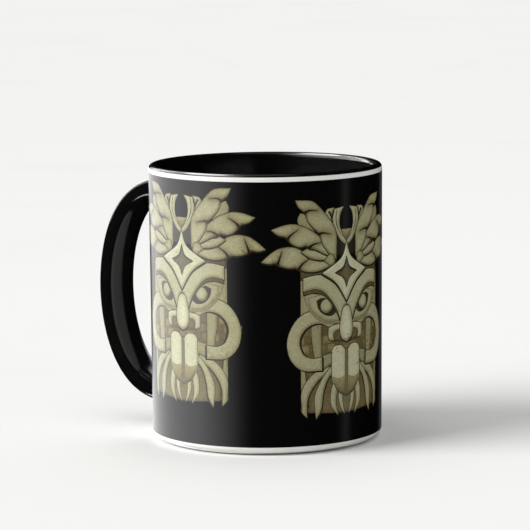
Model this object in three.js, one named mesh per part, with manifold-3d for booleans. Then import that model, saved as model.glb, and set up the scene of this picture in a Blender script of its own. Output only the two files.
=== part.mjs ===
// A straight-walled two-tone stoneware mug with a loop handle and a printed wrap, in millimetres.
// +Z is up, the cup's axis is Z, the foot stands on Z = 0 and the handle points along -X.
// The clay cup and the clay handle are cast apart and luted together with slip. White glaze then
// covers the outside, black glaze covers the inside, the lip and the handle, and the transfer
// print lies on the white glaze.
import * as THREE from "three";
import { mergeVertices } from "three/addons/utils/BufferGeometryUtils.js";
import Module from "manifold-3d";

const wasm = await Module();
wasm.setup();

// Cup, over its glaze.
const cupHeight = 97;
const rimRadius = 41;
const wallTaper = 0.5; // how much less the radius is at the heel than at the lip
const lipThickness = 3.4;
const wallThickness = 4.3; // at full thickness, below the lip
const lipBlend = 16; // height over which the lip thickens to the full wall
const floorHeight = 8;
const floorFillet = 9;

// Foot.
const heelHeight = 3; // top of the rounded heel
const heelInset = 5; // from the wall in to the outer edge of the foot ring
const footLand = 3.2; // width of the flat ring that stands on the table
const footBare = 0.6; // height of bare clay below the glaze line
const footChamfer = 0.5;
const recessDepth = 2;

// Coats.
const glazeThickness = 0.35; // from the clay to the glazed surface
const filmThickness = 0.12; // from the white glaze to the face of the print
const coatGap = 0.03; // between a coat and what it lies on
const blackLine = 24; // degrees up the round of the lip where white glaze gives way to black

// Printed wrap.
const printHeelGap = 0.1; // bare wall between the heel and the print
const printRimGap = 2.6; // from the top of the lip down to the print
const printWidth = 195; // along the wall

// Clay handle. The distances run to the middle of its section.
const handleDrop = 12.3; // from the top of the lip down to the upper end
const handleFootHeight = 12.5; // from the table up to the lower end
const handleStandoff = 28.7; // from the wall out to the furthest reach
const handleWidth = 14.2; // across the handle, along Y
const handleThickness = 7.6; // in the plane of the loop
const handleRise = 10; // how far the loop's guide points stand above and below its ends

// Slip joints.
const slipThickness = 0.8;
const slipMargin = 0.7; // how far the slip spreads past the clay of the handle
const jointGap = 0.3; // between a piece and the neighbour that it is cut to

// Facets.
const turnSegments = 48;
const arcSegments = 3;
const handleSteps = 24;
const handleSides = 14;

const degree = Math.PI / 180;
const clayRim = rimRadius - glazeThickness;
const clayHeel = clayRim - wallTaper;
const clayLipRadius = lipThickness / 2 - glazeThickness;
const lipCentre = new THREE.Vector2(clayRim - clayLipRadius, cupHeight - glazeThickness - clayLipRadius);
const clayInner = rimRadius - wallThickness + glazeThickness;
const clayFloor = floorHeight - glazeThickness;

const blackGlaze = new THREE.MeshStandardMaterial({ color: 0x0a0a0a, roughness: 0.16, metalness: 0 });
const whiteGlaze = new THREE.MeshStandardMaterial({ color: 0xe9e8e2, roughness: 0.18, metalness: 0 });
const bareClay = new THREE.MeshStandardMaterial({ color: 0xd9d0c0, roughness: 0.85, metalness: 0 });
const slipClay = new THREE.MeshStandardMaterial({ color: 0xcfc4b1, roughness: 0.9, metalness: 0 });
const printedFilm = new THREE.MeshStandardMaterial({ color: 0x3a382c, roughness: 0.22, metalness: 0 });

// Points on an arc, ends included, as Vector2(radius, height).
function arcPoints(centre, radiusX, radiusY, from, to, count) {
  const points = [];
  for (let i = 0; i <= count; i++) {
    const angle = from + ((to - from) * i) / count;
    points.push(new THREE.Vector2(
      centre.x + radiusX * Math.cos(angle),
      centre.y + radiusY * Math.sin(angle),
    ));
  }
  return points;
}

// Radius of the clay's outer wall at a height, on the straight line from heel to lip.
function clayWallRadius(height) {
  const share = (height - heelHeight) / (lipCentre.y - heelHeight);
  return clayHeel + (clayRim - clayHeel) * share;
}

// The clay's outline from the axis under the foot, out, up, over the lip and down to the axis again.
// The coats lie on three of its runs: the recess, the outside and the liner.
function clayOutline() {
  const footOuter = rimRadius - wallTaper - heelInset;
  const footInner = footOuter - footLand;
  const glazeLine = new THREE.Vector2(footOuter + footBare * 0.4, footBare);
  const recessCorner = footInner - recessDepth * 0.5;
  const recess = [new THREE.Vector2(0, recessDepth), new THREE.Vector2(recessCorner, recessDepth)];
  const land = [
    new THREE.Vector2(footInner - footChamfer * 0.5, footChamfer),
    new THREE.Vector2(footInner, 0),
    new THREE.Vector2(footOuter, 0),
  ];
  const heelCentre = new THREE.Vector2(glazeLine.x, heelHeight);
  const heelReach = clayHeel - glazeLine.x;
  const heel = arcPoints(heelCentre, heelReach, heelHeight - footBare, -Math.PI / 2, 0, arcSegments);
  const printEnds = [heelHeight + printHeelGap, cupHeight - printRimGap];
  const wall = printEnds.map((height) => new THREE.Vector2(clayWallRadius(height), height));
  const turn = blackLine * degree;
  const radius = clayLipRadius;
  const lipOutside = arcPoints(lipCentre, radius, radius, 0, turn, 1);
  const lipOver = arcPoints(lipCentre, radius, radius, turn, Math.PI, arcSegments + 1).slice(1);
  const filletCentre = new THREE.Vector2(clayInner - floorFillet, clayFloor + floorFillet);
  const inside = [
    new THREE.Vector2(clayInner, lipCentre.y - lipBlend),
    ...arcPoints(filletCentre, floorFillet, floorFillet, 0, -Math.PI / 2, arcSegments),
    new THREE.Vector2(0, clayFloor),
  ];
  const outside = [...heel, ...wall, ...lipOutside];
  const line = [...recess, ...land, ...outside, ...lipOver, ...inside];
  const outsideStart = recess.length + land.length;
  const wallStart = outsideStart + heel.length;
  const linerStart = outsideStart + outside.length - 1;
  return { line, recessEnd: recess.length - 1, outsideStart, wallStart, linerStart };
}

const { line, recessEnd, outsideStart, wallStart, linerStart } = clayOutline();

// A line moved sideways by a distance, to the right of its own direction; a point on the axis stays
// on the axis.
function offsetLine(points, distance) {
  return points.map((point, i) => {
    const before = point.clone().sub(points[Math.max(i - 1, 0)]).normalize();
    const after = points[Math.min(i + 1, points.length - 1)].clone().sub(point).normalize();
    const along = before.clone().add(after).normalize();
    const one = before.lengthSq() > 0 ? before : after;
    const side = new THREE.Vector2(along.y, -along.x);
    const stretch = Math.max(side.dot(new THREE.Vector2(one.y, -one.x)), 0.5);
    const moved = point.clone().addScaledVector(side, distance / stretch);
    moved.x = point.x === 0 ? 0 : moved.x;
    return moved;
  });
}

// A closed solid of revolution about Z. The profile is turned so that its faces point out.
function revolve(profile) {
  const points = THREE.ShapeUtils.area(profile) < 0 ? [...profile].reverse() : [...profile];
  const onAxis = points[0].x === 0 && points[points.length - 1].x === 0;
  if (!onAxis) points.push(points[0].clone());
  return new THREE.LatheGeometry(points, turnSegments).rotateX(Math.PI / 2);
}

// A coat between two offsets from the clay's outline, from one of the outline's points to another.
function coat(from, to, near, far) {
  const inner = offsetLine(line, near).slice(from, to + 1);
  const outer = offsetLine(line, far).slice(from, to + 1);
  return revolve([...inner, ...outer.reverse()]);
}

function toSolid(geometry) {
  const bare = geometry.index ? geometry.toNonIndexed() : geometry.clone();
  bare.deleteAttribute("normal");
  bare.deleteAttribute("uv");
  const merged = mergeVertices(bare, 1e-4);
  const corners = merged.index.array;
  const kept = [];
  for (let i = 0; i < corners.length; i += 3) {
    const [a, b, c] = [corners[i], corners[i + 1], corners[i + 2]];
    if (a !== b && b !== c && c !== a) kept.push(a, b, c);
  }
  const vertProperties = merged.attributes.position.array;
  const triVerts = Uint32Array.from(kept);
  return new wasm.Manifold(new wasm.Mesh({ numProp: 3, vertProperties, triVerts }));
}

function toGeometry(solid) {
  const mesh = solid.getMesh();
  const geometry = new THREE.BufferGeometry();
  geometry.setAttribute("position", new THREE.BufferAttribute(mesh.vertProperties, 3));
  geometry.setIndex(new THREE.BufferAttribute(mesh.triVerts, 1));
  const flat = geometry.toNonIndexed();
  flat.computeVertexNormals();
  return flat;
}

// The oval section of the handle, grown by a margin on every side. X runs across the handle.
function handleSection(margin) {
  const points = [];
  for (let i = 0; i < handleSides; i++) {
    const angle = (2 * Math.PI * i) / handleSides;
    points.push(new THREE.Vector2(
      (handleWidth / 2 + margin) * Math.cos(angle),
      (handleThickness / 2 + margin) * Math.sin(angle),
    ));
  }
  return points;
}

// The middle line of the handle. It starts and ends inside the wall, where it is cut off. A cubic
// curve's middle lies three quarters of the way from its ends to its guide points.
function handlePath() {
  const start = clayRim - wallThickness / 2;
  const reach = start + (rimRadius + handleStandoff - start) / 0.75;
  const top = cupHeight - handleDrop;
  return new THREE.CubicBezierCurve3(
    new THREE.Vector3(-start, 0, top),
    new THREE.Vector3(-reach, 0, top + handleRise),
    new THREE.Vector3(-reach, 0, handleFootHeight - handleRise),
    new THREE.Vector3(-start, 0, handleFootHeight),
  );
}

function sweepAlongHandle(outer, inner) {
  const shape = new THREE.Shape(outer);
  if (inner) shape.holes.push(new THREE.Path([...inner].reverse()));
  return toSolid(new THREE.ExtrudeGeometry(shape, { steps: handleSteps, extrudePath: handlePath() }));
}

// A solid that fills the cup out to a distance past the clay's outer wall.
function wallPlug(distance) {
  const [low, high] = [-0.1, 1.1].map((share) => {
    const height = share * cupHeight;
    return new THREE.Vector2(clayWallRadius(height) + distance, height);
  });
  return toSolid(revolve([new THREE.Vector2(0, low.y), low, high, new THREE.Vector2(0, high.y)]));
}

// The bare strip behind the handle, where the printed wrap's two ends stop.
function bareWedge() {
  const halfTurn = Math.PI - printWidth / rimRadius / 2;
  const far = rimRadius * 2;
  const side = far * Math.tan(halfTurn);
  const shape = new THREE.Shape([
    new THREE.Vector2(0, 0),
    new THREE.Vector2(-far, side),
    new THREE.Vector2(-far, -side),
  ]);
  return toSolid(new THREE.ExtrudeGeometry(shape, { depth: cupHeight, bevelEnabled: false }));
}

const mug = new THREE.Group();

function addPiece(name, geometry, material) {
  const piece = new THREE.Mesh(geometry, material);
  piece.name = name;
  mug.add(piece);
}

// Clay cup.
addPiece("stoneware_cup", revolve(line), bareClay);

// White glaze on the outside, open where the handle's slip joints pass through it.
const whiteCoat = toSolid(coat(outsideStart, linerStart, coatGap, glazeThickness));
const slipOpening = sweepAlongHandle(handleSection(slipMargin + jointGap));
addPiece("outer_white_glaze", toGeometry(whiteCoat.subtract(slipOpening)), whiteGlaze);

// Black glaze over the lip and down the inside.
addPiece("inner_black_glaze", coat(linerStart, line.length - 1, coatGap, glazeThickness), blackGlaze);

// White glaze in the recess under the foot.
addPiece("underside_white_glaze", coat(0, recessEnd, coatGap, glazeThickness), whiteGlaze);

// Printed wrap on the white glaze, with a bare strip behind the handle.
const filmStart = glazeThickness + coatGap;
const film = toSolid(coat(wallStart, wallStart + 1, filmStart, glazeThickness + filmThickness));
addPiece("printed_wrap", toGeometry(film.subtract(bareWedge())), printedFilm);

// Slip joints between the cup's clay and the two ends of the handle's clay.
const slipShell = wallPlug(jointGap + slipThickness).subtract(wallPlug(jointGap));
const slipPads = slipShell.intersect(sweepAlongHandle(handleSection(slipMargin))).decompose();
for (const pad of slipPads) {
  const place = pad.boundingBox().min[2] > cupHeight / 2 ? "upper" : "lower";
  addPiece(`${place}_slip_joint`, toGeometry(pad), slipClay);
}

// Clay handle and its coat of black glaze, both cut off where the slip ends.
const handleEnd = wallPlug(jointGap * 2 + slipThickness);
const handleClay = sweepAlongHandle(handleSection(0));
addPiece("handle_core", toGeometry(handleClay.subtract(handleEnd)), bareClay);
const handleCoat = sweepAlongHandle(handleSection(glazeThickness), handleSection(coatGap));
addPiece("handle_black_glaze", toGeometry(handleCoat.subtract(handleEnd)), blackGlaze);

export default mug;
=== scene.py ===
import math

import bpy
import numpy as np
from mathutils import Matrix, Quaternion, Vector, geometry


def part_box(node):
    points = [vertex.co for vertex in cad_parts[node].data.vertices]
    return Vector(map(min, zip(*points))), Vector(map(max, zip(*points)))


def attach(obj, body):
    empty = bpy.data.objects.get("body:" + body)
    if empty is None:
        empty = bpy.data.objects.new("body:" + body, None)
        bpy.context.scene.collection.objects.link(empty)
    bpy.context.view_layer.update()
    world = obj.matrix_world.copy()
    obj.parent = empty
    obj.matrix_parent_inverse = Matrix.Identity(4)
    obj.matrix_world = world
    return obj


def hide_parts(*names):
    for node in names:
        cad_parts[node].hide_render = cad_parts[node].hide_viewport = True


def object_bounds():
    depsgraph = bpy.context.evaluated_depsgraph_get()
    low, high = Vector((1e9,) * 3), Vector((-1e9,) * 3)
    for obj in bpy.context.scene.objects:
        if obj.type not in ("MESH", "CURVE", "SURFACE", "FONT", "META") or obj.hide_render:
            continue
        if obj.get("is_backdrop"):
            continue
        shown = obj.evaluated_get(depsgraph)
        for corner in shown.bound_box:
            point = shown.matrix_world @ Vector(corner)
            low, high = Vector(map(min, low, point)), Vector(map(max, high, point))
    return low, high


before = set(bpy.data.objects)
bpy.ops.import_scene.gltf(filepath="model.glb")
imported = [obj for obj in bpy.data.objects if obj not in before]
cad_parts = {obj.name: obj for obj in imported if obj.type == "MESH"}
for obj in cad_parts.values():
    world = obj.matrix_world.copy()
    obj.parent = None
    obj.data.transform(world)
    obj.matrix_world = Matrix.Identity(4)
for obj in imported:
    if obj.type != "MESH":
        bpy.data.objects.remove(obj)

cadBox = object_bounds()  # the CAD box, kept for the size note at the end
mm = 0.001
rng = np.random.default_rng(11)

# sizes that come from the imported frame, in mm
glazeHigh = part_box("outer_white_glaze")[1] / mm
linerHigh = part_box("inner_black_glaze")[1] / mm
printLow, printHigh = [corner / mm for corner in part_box("printed_wrap")]
handleLow, handleHigh = [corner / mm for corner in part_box("handle_black_glaze")]
rimRadius = glazeHigh.x
cupHeight = linerHigh.z
print("stage 1: frame loaded, rim radius %.2f mm, height %.2f mm" % (rimRadius, cupHeight))


# sockets and nodes
def newNode(tree, kind, values=None, **settings):
    node = tree.nodes.new(kind)
    for key, value in settings.items():
        setattr(node, key, value)
    for key, value in (values or {}).items():
        node.inputs[key].default_value = value
    return node


def feed(tree, socket, value):
    if isinstance(value, bpy.types.NodeSocket):
        tree.links.new(value, socket)
    elif value is not None:
        socket.default_value = value


def calc(tree, operation, first, second=None, clamp=False):
    node = newNode(tree, "ShaderNodeMath", operation=operation, use_clamp=clamp)
    feed(tree, node.inputs[0], first)
    feed(tree, node.inputs[1], second)
    return node.outputs[0]


def blendColour(tree, factor, first, second, way="MIX"):
    node = newNode(tree, "ShaderNodeMix", data_type="RGBA", blend_type=way)
    feed(tree, node.inputs[0], factor)
    feed(tree, node.inputs[6], first)
    feed(tree, node.inputs[7], second)
    return node.outputs[2]


def ramp(tree, factor, stops):
    node = newNode(tree, "ShaderNodeValToRGB")
    elements = node.color_ramp.elements
    while len(elements) < len(stops):
        elements.new(0.5)
    for element, (place, colour) in zip(elements, stops):
        element.position = place
        element.color = colour if len(colour) == 4 else (*colour, 1)
    feed(tree, node.inputs[0], factor)
    return node.outputs[0]


def spread(tree, factor, low, high):
    node = newNode(tree, "ShaderNodeMapRange", {"From Min": low, "From Max": high})
    feed(tree, node.inputs["Value"], factor)
    return node.outputs[0]


def newGroup(name, inputs, outputs):
    group = bpy.data.node_groups.new(name, "ShaderNodeTree")
    for label, kind, value in inputs:
        socket = group.interface.new_socket(name=label, in_out="INPUT", socket_type=kind)
        socket.default_value = value
    for label, kind in outputs:
        group.interface.new_socket(name=label, in_out="OUTPUT", socket_type=kind)
    return group, group.nodes.new("NodeGroupInput").outputs, group.nodes.new("NodeGroupOutput").inputs


def placeGroup(tree, group, values):
    node = newNode(tree, "ShaderNodeGroup", node_tree=group)
    for key, value in values.items():
        feed(tree, node.inputs[key], value)
    return node.outputs


def newFinish(name, shaderValues):
    material = bpy.data.materials.new(name)
    material.use_nodes = True
    shader = material.node_tree.nodes["Principled BSDF"]
    for key, value in shaderValues.items():
        shader.inputs[key].default_value = value
    return material, material.node_tree, shader.inputs


def bumpInto(tree, sockets, height, strength, distance):
    bump = newNode(tree, "ShaderNodeBump", {"Strength": strength, "Distance": distance})
    tree.links.new(height, bump.inputs["Height"])
    tree.links.new(bump.outputs["Normal"], sockets["Normal"])


number, tint = "NodeSocketFloat", "NodeSocketColor"


# fired glaze: a slow swell left by the dip, fine orange peel and a few pinholes
def makeGlazeFlow():
    tree, given, out = newGroup(
        "glaze flow",
        [("Swell Size", number, 60.0), ("Peel Size", number, 900.0), ("Peel Amount", number, 0.15),
         ("Pinholes", number, 0.5)],
        [("Height", number), ("Pits", number), ("Cloud", number)],
    )
    where = newNode(tree, "ShaderNodeTexCoord").outputs["Object"]
    swell = newNode(tree, "ShaderNodeTexNoise", {"Detail": 2.0, "Roughness": 0.45})
    peel = newNode(tree, "ShaderNodeTexNoise", {"Detail": 1.0, "Roughness": 0.5})
    cells = newNode(tree, "ShaderNodeTexVoronoi", {"Scale": 420.0})
    cloud = newNode(tree, "ShaderNodeTexNoise", {"Scale": 34.0, "Detail": 5.0, "Roughness": 0.62})
    for texture in (swell, peel, cells, cloud):
        tree.links.new(where, texture.inputs["Vector"])
    tree.links.new(given["Swell Size"], swell.inputs["Scale"])
    tree.links.new(given["Peel Size"], peel.inputs["Scale"])
    inPit = calc(tree, "LESS_THAN", cells.outputs["Distance"], 0.1)
    isPit = calc(tree, "GREATER_THAN", cells.outputs["Color"], 0.965)
    pits = calc(tree, "MULTIPLY", calc(tree, "MULTIPLY", inPit, isPit), given["Pinholes"])
    raised = calc(tree, "ADD", swell.outputs[0],
        calc(tree, "MULTIPLY", peel.outputs[0], given["Peel Amount"]))
    tree.links.new(calc(tree, "SUBTRACT", raised, calc(tree, "MULTIPLY", pits, 0.3)), out["Height"])
    tree.links.new(pits, out["Pits"])
    tree.links.new(cloud.outputs[0], out["Cloud"])
    return tree


# handling marks: faint smears and hairline scuffs that only change the gloss
def makeHandling():
    tree, given, out = newGroup(
        "handling marks",
        [("Gloss", number, 0.1), ("Smear", number, 0.05), ("Scuff", number, 0.1)],
        [("Roughness", number)],
    )
    where = newNode(tree, "ShaderNodeTexCoord").outputs["Object"]
    smear = newNode(tree, "ShaderNodeTexNoise", {"Scale": 48.0, "Detail": 4.0, "Distortion": 0.6})
    turned = newNode(tree, "ShaderNodeMapping", {"Scale": (60.0, 60.0, 900.0), "Rotation": (0.5, 0.3, 0.2)})
    hair = newNode(tree, "ShaderNodeTexNoise", {"Scale": 1.0, "Detail": 3.0, "Roughness": 0.7})
    tree.links.new(where, smear.inputs["Vector"])
    tree.links.new(where, turned.inputs["Vector"])
    tree.links.new(turned.outputs[0], hair.inputs["Vector"])
    smeared = calc(tree, "MULTIPLY", spread(tree, smear.outputs[0], 0.45, 0.75), given["Smear"])
    scuffed = calc(tree, "MULTIPLY", spread(tree, hair.outputs[0], 0.66, 0.74), given["Scuff"])
    tree.links.new(
        calc(tree, "ADD", given["Gloss"], calc(tree, "ADD", smeared, scuffed), True), out["Roughness"]
    )
    return tree


# fired clay: sandy grain, darker iron specks and small open pores
def makeClayGrain():
    tree, given, out = newGroup(
        "clay grain",
        [("Clay", tint, (0.6, 0.5, 0.4, 1)), ("Speck", tint, (0.2, 0.14, 0.09, 1)),
            ("Grain Size", number, 2200.0)],
        [("Color", tint), ("Height", number)],
    )
    where = newNode(tree, "ShaderNodeTexCoord").outputs["Object"]
    grain = newNode(tree, "ShaderNodeTexNoise", {"Detail": 4.0, "Roughness": 0.7})
    specks = newNode(tree, "ShaderNodeTexVoronoi", {"Scale": 900.0})
    blotch = newNode(tree, "ShaderNodeTexNoise", {"Scale": 110.0, "Detail": 3.0})
    for texture in (grain, specks, blotch):
        tree.links.new(where, texture.inputs["Vector"])
    tree.links.new(given["Grain Size"], grain.inputs["Scale"])
    inSpeck = calc(tree, "LESS_THAN", specks.outputs["Distance"], 0.22)
    isSpeck = calc(tree, "GREATER_THAN", specks.outputs["Color"], 0.8)
    speck = calc(tree, "MULTIPLY", inSpeck, isSpeck)
    uneven = blendColour(tree, spread(tree, blotch.outputs[0], 0.3, 0.8), given["Clay"],
        (0.9, 0.84, 0.74, 1), "MULTIPLY")
    sandy = blendColour(tree, spread(tree, grain.outputs[0], 0.35, 0.7), uneven, (1.0, 0.97, 0.92, 1),
        "MULTIPLY")
    tree.links.new(blendColour(tree, speck, sandy, given["Speck"]), out["Color"])
    tree.links.new(calc(tree, "SUBTRACT", grain.outputs[0], speck), out["Height"])
    return tree


# printed stone: coarse mottle, sand and dark pecks that shift the tone of the picture
def makeInkGrain():
    tree, given, out = newGroup(
        "ink grain",
        [("Tone", number, 0.5), ("Sand", number, 0.1), ("Mottle", number, 0.1), ("Pecks", number, 0.3)],
        [("Tone", number)],
    )
    where = newNode(tree, "ShaderNodeTexCoord").outputs["Object"]
    sand = newNode(tree, "ShaderNodeTexNoise", {"Scale": 1500.0, "Detail": 3.0, "Roughness": 0.75})
    mottle = newNode(tree, "ShaderNodeTexNoise", {"Scale": 260.0, "Detail": 4.0, "Roughness": 0.6})
    region = newNode(tree, "ShaderNodeTexNoise", {"Scale": 90.0, "Detail": 2.0})
    pecks = newNode(tree, "ShaderNodeTexNoise", {"Scale": 950.0, "Detail": 2.0, "Roughness": 0.6})
    for texture in (sand, mottle, region, pecks):
        tree.links.new(where, texture.inputs["Vector"])
    sandy = calc(tree, "MULTIPLY", calc(tree, "SUBTRACT", sand.outputs[0], 0.5), given["Sand"])
    mottled = calc(tree, "MULTIPLY", calc(tree, "SUBTRACT", mottle.outputs[0], 0.5), given["Mottle"])
    patch = spread(tree, region.outputs[0], 0.56, 0.68)
    pecked = calc(tree, "MULTIPLY", spread(tree, pecks.outputs[0], 0.6, 0.68), patch)
    dark = calc(tree, "MULTIPLY", pecked, given["Pecks"])
    lit = calc(tree, "ADD", given["Tone"], calc(tree, "ADD", sandy, mottled))
    kept = calc(tree, "MULTIPLY", lit, calc(tree, "SUBTRACT", 1.0, dark), True)
    tree.links.new(kept, out["Tone"])
    return tree


glazeFlow = makeGlazeFlow()
handling = makeHandling()
clayGrain = makeClayGrain()
inkGrain = makeInkGrain()
print("stage 2: shared effects built")

# finishes
whiteGlazeLook = {"colour": (0.86, 0.855, 0.83, 1), "pool": (0.76, 0.75, 0.71, 1), "gloss": 0.12}


def makeWhiteGlaze():
    material, tree, sockets = newFinish("white dip glaze", {"IOR": 1.5})
    flow = placeGroup(tree, glazeFlow, {"Swell Size": 55.0, "Peel Amount": 0.12, "Pinholes": 0.8})
    colour = blendColour(tree, spread(tree, flow["Cloud"], 0.35, 0.9), whiteGlazeLook["colour"],
        whiteGlazeLook["pool"])
    colour = blendColour(tree, flow["Pits"], colour, (0.35, 0.3, 0.24, 1))
    tree.links.new(colour, sockets["Base Color"])
    worn = placeGroup(tree, handling, {"Gloss": whiteGlazeLook["gloss"], "Smear": 0.08, "Scuff": 0.12})
    tree.links.new(worn["Roughness"], sockets["Roughness"])
    bumpInto(tree, sockets, flow["Height"], 0.25, 0.0004)
    return material


blackGlazeLook = {"colour": (0.0025, 0.0025, 0.0028, 1), "thin": (0.005, 0.0045, 0.004, 1), "gloss": 0.1}


def makeBlackGlaze(name, shine):
    material, tree, sockets = newFinish(name, {"IOR": 1.5, "Specular IOR Level": 0.4, **shine})
    flow = placeGroup(tree, glazeFlow, {"Swell Size": 70.0, "Peel Amount": 0.08, "Pinholes": 0.6})
    colour = blendColour(tree, spread(tree, flow["Cloud"], 0.45, 0.8), blackGlazeLook["colour"],
        blackGlazeLook["thin"])
    tree.links.new(colour, sockets["Base Color"])
    worn = placeGroup(tree, handling, {"Gloss": blackGlazeLook["gloss"], "Smear": 0.07, "Scuff": 0.1})
    tree.links.new(worn["Roughness"], sockets["Roughness"])
    bumpInto(tree, sockets, flow["Height"], 0.2, 0.0004)
    return material


def makeClay(name, clay, speck, relief):
    material, tree, sockets = newFinish(name, {"Roughness": 0.85})
    grain = placeGroup(tree, clayGrain, {"Clay": clay, "Speck": speck})
    tree.links.new(grain["Color"], sockets["Base Color"])
    bumpInto(tree, sockets, grain["Height"], relief, 0.0002)
    return material


printLook = {"ground": (0.0025, 0.0025, 0.0025, 1), "gloss": 0.2, "lint": (0.05, 0.05, 0.048, 1)}


def makeGroundInk():
    material, tree, sockets = newFinish("black ground ink", {"IOR": 1.5})
    flow = placeGroup(tree, glazeFlow, {"Swell Size": 40.0, "Peel Amount": 0.1, "Pinholes": 0.5})
    colour = blendColour(tree, flow["Pits"], printLook["ground"], printLook["lint"])
    tree.links.new(colour, sockets["Base Color"])
    worn = placeGroup(tree, handling, {"Gloss": printLook["gloss"], "Smear": 0.05, "Scuff": 0.08})
    tree.links.new(worn["Roughness"], sockets["Roughness"])
    bumpInto(tree, sockets, flow["Height"], 0.12, 0.0004)
    return material


# picture ink: the tone stored in each drawn shape, grained like cut stone, then tinted
inkTints = [
    (0.0, (0.003, 0.003, 0.002)),
    (0.2, (0.035, 0.027, 0.012)),
    (0.4, (0.135, 0.112, 0.048)),
    (0.6, (0.285, 0.265, 0.135)),
    (0.8, (0.48, 0.475, 0.3)),
    (1.0, (0.78, 0.79, 0.62)),
]


def makePictureInk():
    material, tree, sockets = newFinish("carved post ink", {"IOR": 1.5, "Specular IOR Level": 0.75})
    stored = newNode(tree, "ShaderNodeAttribute", attribute_name="inkTone")
    parts = newNode(tree, "ShaderNodeSeparateColor")
    tree.links.new(stored.outputs["Color"], parts.inputs[0])
    grain = placeGroup(tree, inkGrain,
        {"Tone": parts.outputs[0], "Sand": 0.34, "Mottle": 0.07, "Pecks": 0.5})
    colour = ramp(tree, grain["Tone"], inkTints)
    brown = blendColour(tree, parts.outputs[1], colour, (1.0, 0.86, 0.66, 1), "MULTIPLY")
    tree.links.new(brown, sockets["Base Color"])
    worn = placeGroup(tree, handling, {"Gloss": printLook["gloss"], "Smear": 0.05, "Scuff": 0.08})
    tree.links.new(worn["Roughness"], sockets["Roughness"])
    flow = placeGroup(tree, glazeFlow, {"Swell Size": 40.0, "Peel Amount": 0.1, "Pinholes": 0.0})
    bumpInto(tree, sockets, flow["Height"], 0.12, 0.0004)
    return material


whiteGlaze = makeWhiteGlaze()
linerGlaze = makeBlackGlaze("black liner glaze",
    {"Coat Weight": 0.25, "Coat Roughness": 0.22, "Coat IOR": 1.5})
handleGlaze = makeBlackGlaze("black handle glaze", {})
bareClay = makeClay("bare fired clay", (0.62, 0.54, 0.42, 1), (0.2, 0.13, 0.08, 1), 0.5)
slipClay = makeClay("joining slip", (0.5, 0.42, 0.32, 1), (0.16, 0.1, 0.06, 1), 0.7)
groundInk = makeGroundInk()
pictureInk = makePictureInk()
print("stage 3: finishes built")


# meshes; points are in mm
def addMesh(name, points, faces, material, slot, smooth=True):
    mesh = bpy.data.meshes.new(name)
    mesh.from_pydata((np.asarray(points, float) * mm).tolist(), [],
        [list(map(int, face)) for face in faces])
    mesh.polygons.foreach_set("use_smooth", [smooth] * len(mesh.polygons))
    mesh.materials.append(material)
    mesh.update()
    mesh.set_sharp_from_angle(angle=math.radians(45))
    piece = bpy.data.objects.new(name, mesh)
    bpy.context.scene.collection.objects.link(piece)
    if slot:
        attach(piece, "root")
    return piece


def arc(centre, reach, start, end, count):
    angles = np.radians(np.linspace(start, end, count))
    return np.column_stack([centre[0] + reach[0] * np.cos(angles), centre[1] + reach[1] * np.sin(angles)])


def straight(first, last, count):
    return np.linspace(first, last, count)


def joined(*runs):
    line = np.vstack(runs)
    keep = np.r_[True, np.hypot(*np.diff(line, axis=0).T) > 1e-6]
    return line[keep]


def sideways(line):
    along = np.gradient(line, axis=0)
    along /= np.linalg.norm(along, axis=1)[:, None]
    return np.column_stack([along[:, 1], -along[:, 0]])


# a coat of a given depth on a run of the clay's outline; a round end thins out, a flat one does not
def coatProfile(line, depth, roundStart, roundEnd):
    travelled = np.r_[0, np.cumsum(np.hypot(*np.diff(line, axis=0).T))]
    full = np.broadcast_to(np.asarray(depth, float), travelled.shape).copy()
    for ends, distance in ((roundStart, travelled), (roundEnd, travelled[-1] - travelled)):
        if ends:
            near = np.clip(distance / ends, 0, 1)
            full *= np.sqrt(1 - (1 - near) ** 2)
    outer = line + sideways(line) * full[:, None]
    outer[line[:, 0] < 1e-9, 0] = 0
    return np.vstack([line, outer[::-1]])


# a closed solid of revolution; the profile closes on itself or on the axis
def revolve(name, profile, material, slot, segments=192):
    keep = np.r_[True, np.hypot(*np.diff(profile, axis=0).T) > 1e-6]
    profile = profile[keep]
    if np.hypot(*(profile[0] - profile[-1])) < 1e-6:
        profile = profile[:-1]
    doubled = 0.5 * np.sum(
        profile[:, 0] * np.roll(profile[:, 1], -1) - np.roll(profile[:, 0], -1) * profile[:, 1]
    )
    if doubled < 0:
        profile = profile[::-1]
    turns = np.linspace(0, 2 * np.pi, segments, endpoint=False)
    points, rings = [], []
    for radius, height in profile:
        if radius < 1e-6:
            rings.append([len(points)] * segments)
            points.append((0, 0, height))
        else:
            rings.append(list(range(len(points), len(points) + segments)))
            points.extend((radius * math.cos(turn), radius * math.sin(turn), height) for turn in turns)
    faces = []
    for low, high in zip(rings, rings[1:] + rings[:1]):
        if low[0] == low[1] and high[0] == high[1]:
            continue
        for i in range(segments):
            j = (i + 1) % segments
            corners = [low[i], low[j], high[j], high[i]]
            face = [c for k, c in enumerate(corners) if c != corners[k - 1]]
            faces.append(face)
    return addMesh(name, points, faces, material, slot)


cup = {
    "taper": 0.5,  # less radius at the heel than at the lip
    "lip": 3.4,
    "wall": 4.3,
    "lipBlend": 16.0,
    "floor": 8.0,
    "floorFillet": 9.0,
    "heel": 3.0,  # top of the rounded heel
    "heelInset": 5.0,
    "footLand": 3.2,
    "bareFoot": 0.6,
    "recess": 2.0,
    "glaze": 0.35,
    "blackLine": 24.0,  # degrees up the outside of the lip
    "bead": 0.05,  # how much the black glaze stands over the white at its edge
}


def wallRadius(height):
    rise = (height - cup["heel"]) / (cupHeight - cup["lip"] / 2 - cup["heel"])
    return rimRadius - cup["taper"] * (1 - np.clip(rise, 0, 1))


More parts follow.
